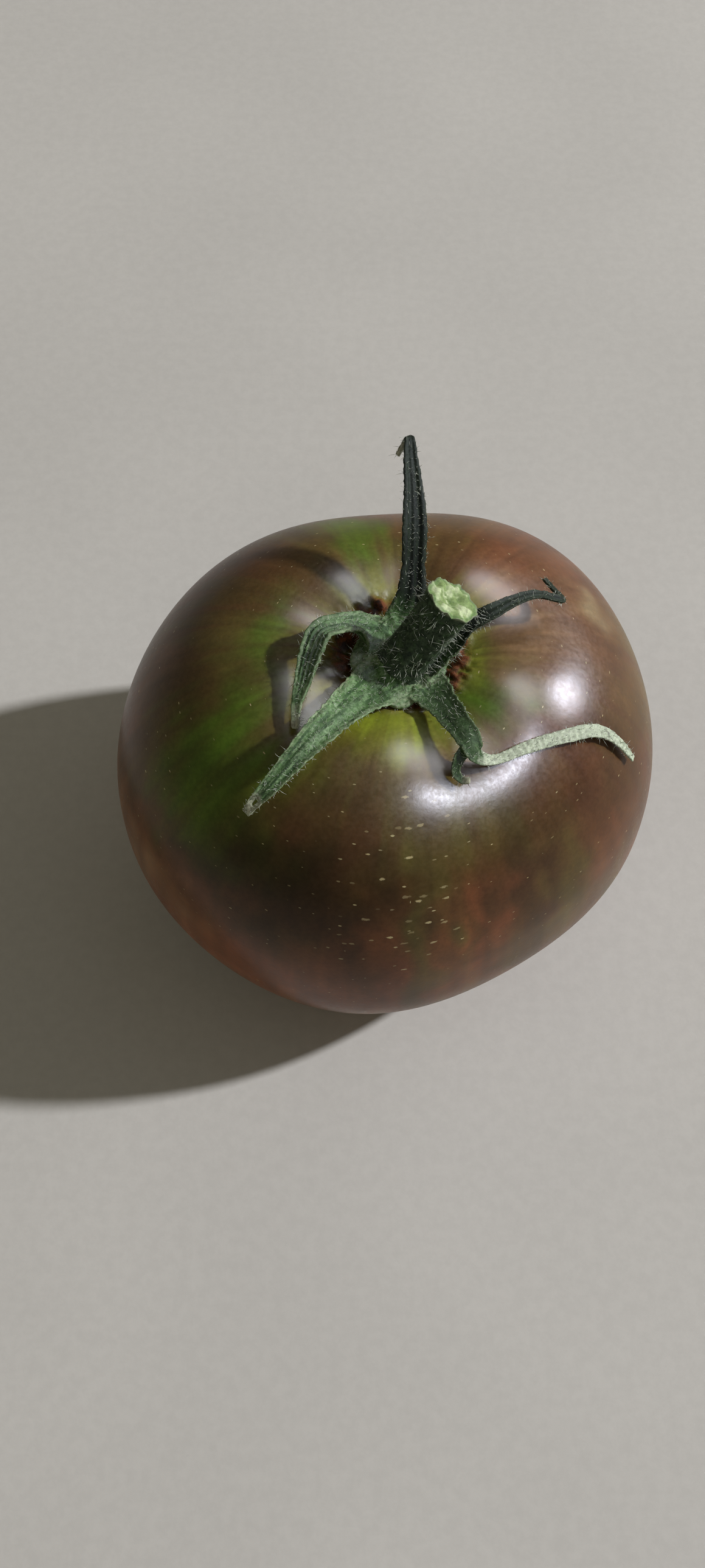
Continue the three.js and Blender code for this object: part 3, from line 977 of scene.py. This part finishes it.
@dataclass
class Calyx:
    """The calyx: a small disc with five long sepals and a torn curl, fused into one thin leaf body."""

    centre: tuple[float, float] = (1.3, -1.2)
    disc_radius: float = 5.8
    disc_top: float = 53.4
    disc_base: float = 50.6
    disc_dome: float = 0.9
    heart: tuple[float, float, float] = (0.0, 0.0, 25.9)
    middle_thickness: float = 0.46
    edge_thickness: float = 0.3
    channel_depth: float = 0.16
    channel_start: float = 0.2
    step: float = 0.22
    spans: int = 14
    voxel: float = 0.14
    smoothing: int = 10
    web_smoothing: int = 90
    finish: LeafFinish = field(default_factory=lambda: LeafFinish("calyx_leaf"))
    webs: tuple[tuple[float, float, float, float], ...] = ((1.3, -6.1, 53.05, 2.2), (-2.3, -1.8, 53.3, 2.3))
    web_thickness: float = 0.5
    crumple_depth: float = 0.16
    crumple_fade: tuple[float, float] = (7.5, 4.5)
    web_fade: tuple[float, float] = (9.5, 6.0)
    crown_tone: float = 0.9
    crown_radii: tuple[float, float] = (5.0, 8.0)
    fold_start: tuple[float, float] = (0.08, 0.3)
    fold_end: tuple[float, float] = (1.0, 0.85)
    full_fold_width: float = 3.0
    slit_taper: float = 0.02
    slit_place: float = 0.1
    slit_width: float = 0.32
    round_columns: int = 48
    boss_stations: tuple[float, ...] = (-1.2, 0.0, 0.9, 1.8)
    boss_inset: float = 0.25
    inward: float = 0.5
    outward: float = 0.53
    ragged_edge: float = 0.05
    rib_wander: tuple[tuple[float, float, float], ...] = ((0.5, 37.0, 0.0), (0.7, 61.0, 2.0))
    side_fade: float = 0.08
    margin: tuple[float, float] = (0.72, 0.98)
    midrib_width: float = 0.13
    frost: float = 0.6
    dry_frost: float = 0.7
    marks_start: float = 0.1
    marks_along: int = 160
    marks_across: int = 13
    sepals: tuple[Sepal, ...] = (
        Sepal(  # back
            (
                (1.3, 0.6, 52.5, 7.2, 0), (2.2, 3.7, 52.9, 6.0, 0), (2.8, 6.4, 54.9, 3.8, 0),
                (3.0, 9.0, 57.7, 2.9, 4), (3.1, 12.1, 60.7, 3.2, 6), (3.0, 15.9, 62.9, 2.6, 6),
                (2.7, 20.0, 64.3, 1.8, 4), (2.5, 22.9, 64.8, 1.2, 0), (1.9, 22.4, 64.0, 0.9, 0),
                (1.2, 21.6, 63.1, 0.8, 0),
            ),
            # the low tone is painted shade on this sepal's face, which turns from the key light
            folds=3, fold_depth=0.16, dry_from=0.8, dry_to=0.94, tone=0.09,
        ),
        Sepal(  # right
            (
                (2.5, -1.6, 52.5, 7.2, 0), (4.9, -1.6, 53.0, 5.8, -6), (7.1, -1.0, 55.0, 4.0, -18),
                (9.4, 0.3, 57.2, 3.1, -24), (12.1, 1.3, 58.6, 2.5, -22), (14.9, 3.3, 58.3, 1.6, -12),
                (17.8, 5.0, 57.3, 1.3, 0), (20.9, 5.2, 56.1, 1.1, 0), (20.2, 7.0, 55.5, 0.9, 0),
                (19.0, 8.5, 55.8, 0.8, 0),
            ),
            # the low tone is painted shade on this sepal's face, which turns from the key light
            folds=2, fold_depth=0.14, dry_from=0.95, dry_to=1.2, tone=0.11,
        ),
        Sepal(  # front right
            (
                (2.2, -2.4, 52.5, 7.0, 0), (4.4, -5.2, 53.0, 5.6, 4), (6.3, -8.5, 54.3, 3.8, 20),
                (7.9, -11.8, 55.6, 3.2, 28), (9.2, -14.4, 55.9, 2.8, 16), (9.8, -15.6, 54.9, 2.2, -10),
                (11.0, -15.6, 53.6, 1.6, -26), (12.5, -15.2, 52.9, 1.3, -30), (15.5, -13.7, 52.6, 1.5, -26),
                (18.3, -12.4, 52.2, 1.6, -20), (21.2, -11.2, 51.6, 1.7, -12), (24.0, -10.0, 50.7, 1.7, -6),
                (26.1, -9.4, 49.1, 1.5, 0), (28.2, -9.5, 46.7, 1.2, 0), (30.1, -10.0, 43.9, 0.8, 0),
            ),
            folds=1, fold_depth=0.2, dry_from=0.36, dry_to=0.44, tone=0.55, dry_tone=Greenery.MINT, ribs=52,
        ),
        Sepal(  # front left
            (
                (0.8, -3.0, 52.5, 7.2, 0), (-1.9, -5.7, 53.0, 6.4, 0), (-4.3, -8.4, 54.2, 4.9, -4),
                (-6.3, -11.1, 55.4, 4.1, -8), (-8.3, -13.6, 56.0, 3.6, -8), (-10.7, -16.4, 55.6, 2.9, -4),
                (-13.3, -19.1, 54.4, 2.2, 0), (-15.4, -20.7, 52.8, 1.6, 0), (-16.6, -21.6, 51.6, 1.1, 0),
            ),
            folds=2, fold_depth=0.12, dry_from=0.8, dry_to=0.9, tone=1.0, slit=(0.84, 0.955),
        ),
        Sepal(  # left
            (
                (0.4, 0.4, 52.5, 7.0, 0), (-1.9, 1.6, 53.1, 6.2, 4), (-3.9, 1.8, 54.9, 5.2, 10),
                (-5.9, 0.9, 56.6, 4.2, 14), (-7.9, -0.4, 57.3, 3.8, 12), (-8.8, -2.3, 57.0, 3.5, 8),
                (-9.5, -4.3, 56.3, 2.9, 4), (-10.1, -6.4, 55.6, 2.2, 0), (-10.8, -8.9, 54.8, 1.4, 0),
                (-11.0, -11.6, 53.9, 0.9, 0),
            ),
            folds=5, fold_depth=0.3, dry_from=0.86, dry_to=1.0, tone=0.8,
        ),
        Sepal(  # front right curl
            (
                (8.9, -15.0, 55.3, 1.6, 0), (7.9, -16.1, 54.5, 1.3, 0), (7.6, -17.2, 53.5, 1.1, 0),
                (8.3, -17.9, 52.9, 0.9, 0), (9.3, -18.1, 53.1, 0.8, 0),
            ),
            folds=1, fold_depth=0.0, dry_from=0.7, dry_to=1.0, tone=0.4,
        ),
    )

    def lift(self, sepal: Sepal, share: np.ndarray, across: np.ndarray, width: np.ndarray) -> np.ndarray:
        """Finds how far the blade's middle surface stands up from the flat, with its channel, folds and ribs.

        Args:
            sepal: The sepal that the blade belongs to.
            share: How far along the sepal, from 0 to 1.
            across: Where across it, from -1 to 1.
            width: Its width there.

        Returns:
            The height of each point.
        """
        rooted = np.minimum(1, share / self.channel_start)
        channel = self.channel_depth * width * rooted * across**2
        folded = steady(share, *self.fold_start) * steady(share, *self.fold_end)
        folded = folded * np.minimum(1, width / self.full_fold_width)
        uneven = sum(size * np.sin(pitch * share + skew * across) for size, pitch, skew in self.rib_wander)
        ribs = np.sin(2 * math.pi * sepal.ribs * share + uneven)
        ribbed = sepal.rib_depth * ribs * steady(share, sepal.dry_from, sepal.dry_to)
        return channel + ribbed + sepal.fold_depth * folded * np.cos(math.pi * sepal.folds * across)

    def blade(self, sepal: Sepal, left: np.ndarray, right: np.ndarray, share: np.ndarray) -> Solid:
        """Lofts a closed blade between two edges.

        Args:
            sepal: The sepal it belongs to.
            left: Where its left edge is across the sepal, from -1 to 1, at each share.
            right: The same for its right edge.
            share: The stations along the sepal.

        Returns:
            The points and the faces.
        """
        centre, side, face, width = sepal.frame_at(share, np.array(self.heart))
        steps = np.linspace(0, 1, self.spans + 1)
        across = left[:, None] + (right - left)[:, None] * steps
        thin = self.edge_thickness + (self.middle_thickness - self.edge_thickness) * (1 - across**2)
        middle = self.lift(sepal, share[:, None], across, width[:, None])
        ragged = 1 + self.ragged_edge * Clouds(31, 1.1).at(centre)[:, None]
        flat = centre[:, None] + side[:, None] * (across * ragged * width[:, None] / 2)[..., None]
        upper = flat + face[:, None] * (middle + thin / 2)[..., None]
        lower = flat + face[:, None] * (middle - thin / 2)[..., None]
        rings = np.concatenate([lower, upper[:, ::-1]], axis=1)
        return rings.reshape(-1, 3), ring_faces(len(share), rings.shape[1], True, True)

    def blades(self, sepal: Sepal) -> list[Solid]:
        """Makes a sepal's solids.

        Args:
            sepal: The sepal.

        Returns:
            One blade, or two where a slit parts the tip.
        """
        length = np.linalg.norm(np.diff(np.array([row[:3] for row in sepal.rows]), axis=0), axis=1).sum()
        share = np.linspace(0, 1, int(length / self.step))
        whole = np.ones(len(share))
        if sepal.slit is None:
            return [self.blade(sepal, -whole, whole, share)]
        start, stop = sepal.slit
        parted = steady(share, start, start + self.slit_taper) * steady(share, stop, stop - self.slit_taper)
        edge = self.slit_place - self.slit_width * parted
        return [self.blade(sepal, -whole, edge, share), self.blade(sepal, -edge, whole, share)]

    def turned(self, middle: tuple[float, float], profile: list[tuple[float, float]]) -> Solid:
        """Turns a profile of radius and height round an upright axis.

        Args:
            middle: Where the axis stands.
            profile: The radii and heights, from the bottom up.

        Returns:
            The points and the faces.
        """
        turns = full_turn(self.round_columns)
        rings = [
            np.stack([
                middle[0] + max(reach, 0.01) * np.cos(turns),
                middle[1] + max(reach, 0.01) * np.sin(turns),
                np.full(self.round_columns, height),
            ], axis=-1)
            for reach, height in profile
        ]
        return np.concatenate(rings), ring_faces(len(rings), self.round_columns, True, True)

    def disc(self) -> Solid:
        """Makes the domed disc that carries the sepals."""
        profile = [(0, self.disc_base), (self.disc_radius, self.disc_base)]
        for share in (1, 0.8, 0.6, 0.4, 0.2, 0):
            profile.append((share * self.disc_radius, self.disc_top - self.disc_dome * share * share))
        return self.turned(self.centre, profile)

    def web(self, x: float, y: float, height: float, radius: float) -> Solid:
        """Makes a thin round plate that fills the root of a gap between two sepals.

        Args:
            x: Its middle's place to the right.
            y: Its middle's place towards the back.
            height: Its middle's height.
            radius: Its radius.

        Returns:
            The plate's points and faces.
        """
        low = height - self.web_thickness / 2
        high = height + self.web_thickness / 2
        return self.turned((x, y), [(0, low), (radius, low), (radius, high), (0, high)])

    def boss(self, stalk: Stalk) -> Solid:
        """Makes the boss that the stalk stands on, a little inside the stalk's own side.

        Args:
            stalk: The stalk.

        Returns:
            The boss's points and faces.
        """
        turns = full_turn(self.round_columns)
        level = np.ones(self.round_columns)
        rings = []
        for along in self.boss_stations:
            radius = stalk.ring_radius(level * max(along, 0) / stalk.length, turns) - self.boss_inset
            rings.append(stalk.place(level * along, turns, radius))
        return np.concatenate(rings), ring_faces(len(rings), self.round_columns, True, True)

    def fuse(self, solids: list[Solid]) -> tuple[np.ndarray, np.ndarray]:
        """Fuses closed solids into one skin of even quads.

        Args:
            solids: Points and faces of each solid, in millimetres.

        Returns:
            The points and the quads of the fused body.
        """
        points = []
        faces: Faces = []
        for part_points, part_faces in solids:
            start = sum(len(group) for group in points)
            points.append(part_points)
            faces += [tuple(start + corner for corner in quad) for quad in part_faces]
        mesh = bpy.data.meshes.new("calyx_rough")
        mesh.from_pydata(np.concatenate(points).tolist(), [], faces)
        rough = bpy.data.objects.new("calyx_rough", mesh)
        bpy.context.scene.collection.objects.link(rough)
        remesh = rough.modifiers.new("fuse", "REMESH")
        remesh.mode = "VOXEL"
        remesh.voxel_size = self.voxel
        fused = rough.evaluated_get(bpy.context.evaluated_depsgraph_get()).to_mesh()
        coordinates = np.empty(len(fused.vertices) * 3)
        fused.vertices.foreach_get("co", coordinates)
        corners = np.empty(len(fused.loops), dtype=int)
        fused.loops.foreach_get("vertex_index", corners)
        bpy.data.objects.remove(rough)
        bpy.data.meshes.remove(mesh)
        return coordinates.reshape(-1, 3), corners.reshape(-1, 4)

    def relax(self, points: np.ndarray, quads: np.ndarray, rounds: int, weight: np.ndarray) -> np.ndarray:
        """Smooths a mesh without shrinking it.

        Args:
            points: The mesh's points.
            quads: Its faces.
            rounds: How many times to smooth.
            weight: How much each point moves, from 0 to 1.

        Returns:
            The smoothed points.
        """
        edges = np.concatenate([quads[:, [0, 1]], quads[:, [1, 2]], quads[:, [2, 3]], quads[:, [3, 0]]])
        start, stop = edges[:, 0], edges[:, 1]
        degree = np.maximum(np.bincount(start, minlength=len(points)), 1)[:, None]
        for turn in range(2 * rounds):
            share = self.inward if turn % 2 == 0 else -self.outward
            mean = np.column_stack([
                np.bincount(start, points[stop, axis], len(points)) for axis in range(3)
            ]) / degree
            points = points + share * weight[:, None] * (mean - points)
        return points

    def reach(self, points: np.ndarray) -> np.ndarray:
        """How far each point is from the disc's axis."""
        return np.hypot(points[:, 0] - self.centre[0], points[:, 1] - self.centre[1])

    def survey(self, points: np.ndarray) -> dict[str, np.ndarray]:
        """Finds which sepal each point lies on, and where on it.

        Args:
            points: The calyx's points.

        Returns:
            For each point the sepal's number, the share along it, the place across it, the side that it is on
            (above 0 on the upper side) and the blade's outward direction.
        """
        marks = {"sepal": [], "along": [], "across": [], "face": [], "place": []}
        for number, sepal in enumerate(self.sepals):
            share = np.linspace(self.marks_start, 1, self.marks_along)
            centre, side, face, width = sepal.frame_at(share, np.array(self.heart))
            for across in np.linspace(-1, 1, self.marks_across):
                lift = self.lift(sepal, share, np.full(len(share), across), width)
                marks["place"].append(centre + side * (across * width / 2)[:, None] + face * lift[:, None])
                marks["sepal"].append(np.full(len(share), number))
                marks["along"].append(share)
                marks["across"].append(np.full(len(share), across))
                marks["face"].append(face)
        joined = {name: np.concatenate(rows) for name, rows in marks.items()}
        tree = KDTree(len(joined["place"]))
        for number, place in enumerate(joined["place"]):
            tree.insert(place, number)
        tree.balance()
        nearest = np.array([tree.find(point)[1] for point in points])
        found = {name: joined[name][nearest] for name in ("sepal", "along", "across", "face")}
        found["side"] = ((points - joined["place"][nearest]) * found["face"]).sum(axis=1)
        return found

    def tints(self, points: np.ndarray, where: dict[str, np.ndarray]) -> tuple[np.ndarray, np.ndarray]:
        """Colours the leaf, with painted shade on the back and right sepals.

        Args:
            points: The calyx's points.
            where: Each point's place on its sepal.

        Returns:
            One linear colour a point, and how frosty each point is.
        """
        sepals = where["sepal"]
        upper = steady(where["side"], -self.side_fade, self.side_fade)
        mottle = Clouds(41, 1.3).at(points)
        fine = Clouds(42, 0.5).at(points)
        # tone paints shade on the back and right sepals, lifted near the crown; frost and margins follow it
        tone = np.array([sepal.tone for sepal in self.sepals])[sepals]
        dry_from = np.array([sepal.dry_from for sepal in self.sepals])[sepals]
        dry_to = np.array([sepal.dry_to for sepal in self.sepals])[sepals]
        inner, outer = self.crown_radii
        tone = tone + (self.crown_tone - tone) * steady(self.reach(points), outer, inner)
        edge = steady(np.abs(where["across"]), *self.margin)
        midrib = np.exp(-((where["across"] / self.midrib_width) ** 2)) * upper
        veins = Clouds(43, 0.9).at(np.stack([4 * where["across"], 5 * where["along"], 9.0 * sepals], axis=-1))
        dry = steady(where["along"] + 0.02 * mottle, dry_from, dry_to)
        dried = dry * (0.8 + 0.2 * steady(fine, -0.5, 0.5))
        tint = paint(
            coat(Greenery.FRESH, len(points)),
            (Greenery.DEEP, steady(mottle, 0.0, 1.0) * 0.4),
            (Greenery.DEEP, steady(veins, -0.2, 0.8) * 0.7),
            (Greenery.DEEP, midrib * 0.45),
            (Greenery.UNDERSIDE, (1 - upper) * 0.8),
        )
        tint = paint(
            tint * tone[:, None],
            (Greenery.MARGIN, edge * steady(fine, -0.8, 0.6) * 0.6 * np.minimum(tone, 1)),
            *((sepal.dry_tone, dried * (sepals == number)) for number, sepal in enumerate(self.sepals)),
            (Greenery.BURNT, dry * steady(mottle + fine, 0.7, 1.5) * 0.5),
        )
        frost = self.frost * (1 - self.dry_frost * dry) * np.minimum(tone, 1) ** 2
        return tint, frost * steady(veins, 0.9, -0.6)

    def build(self, stalk: Stalk) -> "Surface":
        """Builds and dresses the piece that stands for the calyx's node.

        Args:
            stalk: The stalk that stands on it.

        Returns:
            Its surface, for hairs to stand on.
        """
        solids = [blade for sepal in self.sepals for blade in self.blades(sepal)]
        solids += [self.web(*web) for web in self.webs]
        points, quads = self.fuse([*solids, self.disc(), self.boss(stalk)])
        points = self.relax(points, quads, self.smoothing, np.ones(len(points)))
        reach = self.reach(points)
        points = self.relax(points, quads, self.web_smoothing, steady(reach, *self.web_fade))
        crumple = Clouds(44, 1.7, octaves=3).at(points) * steady(reach, *self.crumple_fade)
        points[:, 2] += self.crumple_depth * crumple
        tint, frost = self.tints(points, self.survey(points))
        piece = Piece("calyx_leaves", points, quads.tolist(), {"tint": tint}, {"frost": frost})
        made = piece.make(self.finish.material())
        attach(made, BODY)
        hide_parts("calyx")
        log.info("calyx: %d faces", len(quads))
        return Surface(points, quads)


class Surface:
    """A surface of quads that hairs can be planted on."""

    def __init__(self, points: np.ndarray, quads: np.ndarray) -> None:
        """Splits the quads into triangles and measures them.

        Args:
            points: The surface's points.
            quads: Its faces.
        """
        self.triangles = points[np.concatenate([quads[:, [0, 1, 2]], quads[:, [0, 2, 3]]])]
        corner, second, third = self.triangles.transpose(1, 0, 2)
        cross = np.cross(second - corner, third - corner)
        self.areas = np.linalg.norm(cross, axis=1) / 2
        self.normals = unit(cross)

    def scatter(self, count: int, seed: int) -> tuple[np.ndarray, np.ndarray]:
        """Picks points at random, evenly over the surface.

        Args:
            count: How many points.
            seed: The seed of the draw.

        Returns:
            The points and the surface's outward directions there.
        """
        draw = np.random.default_rng(seed)
        picked = draw.choice(len(self.areas), count, p=self.areas / self.areas.sum())
        first = draw.random(count)
        second = draw.random(count)
        over = first + second > 1
        first = np.where(over, 1 - first, first)[:, None]
        second = np.where(over, 1 - second, second)[:, None]
        corners = self.triangles[picked]
        points = corners[:, 0] + first * (corners[:, 1] - corners[:, 0]) + second * (corners[:, 2] - corners[:, 0])
        return points, self.normals[picked]


@dataclass
class Fuzz:
    """Short plant hairs, each a slim bent spike of three sides, with a root, a waist and a tip."""

    SPIKE = (
        (0, 2, 1), (0, 1, 4), (0, 4, 3), (1, 2, 5), (1, 5, 4),
        (2, 0, 3), (2, 3, 5), (3, 4, 6), (4, 5, 6), (5, 3, 6),
    )

    name: str
    slot: str
    count: int
    root_seed: int
    seed: int
    shortest: float
    longest: float
    radius: float = 0.03
    lean: float = 0.55
    bend: float = 0.35
    root_depth: float = 0.08
    waist: float = 0.55
    waist_thickness: float = 0.7
    least_rise: float = 0.1
    finish: HairFinish = field(default_factory=HairFinish)

    def build(self, surface: Surface) -> None:
        """Plants the hairs at random places.

        Args:
            surface: What they stand on.
        """
        roots, outward = surface.scatter(self.count, self.root_seed)
        draw = np.random.default_rng(self.seed)
        shape = (self.count, 3)
        length = self.shortest + (self.longest - self.shortest) * draw.random(self.count)[:, None] ** 2
        way = unit(outward + self.lean * draw.normal(size=shape))
        way = np.where((way * outward).sum(axis=1, keepdims=True) < self.least_rise, outward, way)
        curl = unit(draw.normal(size=shape)) * self.bend * length
        side = unit(np.cross(way, draw.normal(size=shape)))
        other = np.cross(way, side)
        rings = []
        for share, thick in ((0.0, 1.0), (self.waist, self.waist_thickness)):
            centre = roots + way * (length * share - self.root_depth * (share == 0)) + curl * share**2
            for turn in full_turn(3):
                rings.append(centre + self.radius * thick * (side * math.cos(turn) + other * math.sin(turn)))
        rings.append(roots + way * length + curl)
        points = np.stack(rings, axis=1).reshape(-1, 3)
        faces = (np.array(self.SPIKE)[None] + len(rings) * np.arange(self.count)[:, None, None]).reshape(-1, 3)
        tip = np.tile([0, 0, 0, self.waist, self.waist, self.waist, 1.0], self.count)
        made = Piece(self.name, points, faces.tolist(), values={"tip": tip}).make(self.finish.material())
        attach(made, BODY)
        log.info("%s: %d hairs", self.name, self.count)


@dataclass(frozen=True)
class Lamp:
    """A soft light that looks at the fruit from an azimuth and an elevation."""

    name: str
    azimuth: float
    elevation: float
    power: float
    size: tuple[float, float]
    use: LampUse
    away: float = 900.0
    colour: tuple[float, float, float] = (1.0, 0.98, 0.97)

    def build(self, target: Vector) -> None:
        """Hangs the light and turns it.

        Args:
            target: The point that it looks at.
        """
        turn = math.radians(self.azimuth)
        rise = math.radians(self.elevation)
        way = Vector((math.cos(turn) * math.cos(rise), math.sin(turn) * math.cos(rise), math.sin(rise)))
        light = bpy.data.lights.new(self.name, "AREA")
        light.shape = "ELLIPSE"
        light.size = self.size[0] * MM
        light.size_y = self.size[1] * MM
        light.energy = self.power
        light.color = self.colour
        lamp = bpy.data.objects.new(self.name, light)
        lamp.location = target + way * self.away * MM
        lamp.rotation_euler = way.to_track_quat("Z", "Y").to_euler()
        lamp.visible_diffuse, lamp.visible_glossy = self.use.value
        bpy.context.scene.collection.objects.link(lamp)


@dataclass
class Studio:
    """The plain pale floor, the lights and the camera."""

    floor_side: float = 4000.0
    floor_gap: float = 0.02
    target: tuple[float, float, float] = (0.0, 0.0, 35.0)
    camera_place: tuple[float, float, float] = (-4.3, -109.8, 217.1)
    camera_elevation: float = 61.0
    lens: float = 37.51
    sensor: float = 36.0
    ambient: float = 0.18
    air_colour: tuple[float, float, float, float] = (1.0, 0.92, 0.7, 1.0)
    floor: FloorFinish = field(default_factory=FloorFinish)
    lamps: tuple[Lamp, ...] = (
        Lamp("key_light", 7.5, 37, 68.0, (130, 130), LampUse.NO_GLINT, away=2600.0),
        Lamp("key_glint", 21, 32, 27.0, (310, 310), LampUse.GLINT_ONLY, colour=(0.86, 0.88, 1.0)),
        Lamp("front_glint", -33, 54, 19.5, (170, 130), LampUse.GLINT_ONLY, colour=(0.86, 0.88, 1.0)),
        Lamp("sky_glint", 46, 66, 15.0, (620, 440), LampUse.GLINT_ONLY, colour=(0.9, 0.92, 1.0)),
    )

    def build(self) -> None:
        """Sets up the studio."""
        half = self.floor_side / 2
        level = FLAT_CUT - self.floor_gap
        corners = np.array([[x * half, y * half, level] for x, y in ((-1, -1), (1, -1), (1, 1), (-1, 1))])
        floor = Piece("floor", corners, [(0, 1, 2, 3)], smooth=False).make(self.floor.material())
        for lamp in self.lamps:
            lamp.build(Vector(self.target) * MM)
        world = bpy.data.worlds.new("studio_air")
        world.use_nodes = True
        background = world.node_tree.nodes["Background"]
        background.inputs["Color"].default_value = self.air_colour
        background.inputs["Strength"].default_value = self.ambient
        scene = bpy.context.scene
        scene.world = world
        scene.view_settings.view_transform = "Standard"
        lens = bpy.data.cameras.new("camera")
        lens.lens = self.lens
        lens.sensor_width = self.sensor
        lens.sensor_fit = "AUTO"
        camera = bpy.data.objects.new("camera", lens)
        camera.location = Vector(self.camera_place) * MM
        camera.rotation_euler = (math.radians(90 - self.camera_elevation), 0.0, 0.0)
        scene.collection.objects.link(camera)
        scene.camera = camera


def main() -> None:
    """Builds the tomato and its studio."""
    logging.basicConfig(level=logging.INFO, format="%(message)s")
    Studio().build()
    Fruit().build()
    stalk = Stalk()
    stalk.build()
    leaf = Calyx().build(stalk)
    side = Surface(stalk.place(*stalk.side_grid()), np.array(ring_faces(stalk.rows, stalk.columns)))
    Fuzz("calyx_hairs", "leaf", count=4500, root_seed=51, seed=52, shortest=0.2, longest=1.1).build(leaf)
    Fuzz("stalk_hairs", "stalk", count=520, root_seed=53, seed=54, shortest=0.4, longest=2.0).build(side)


if __name__ == "__main__":
    main()
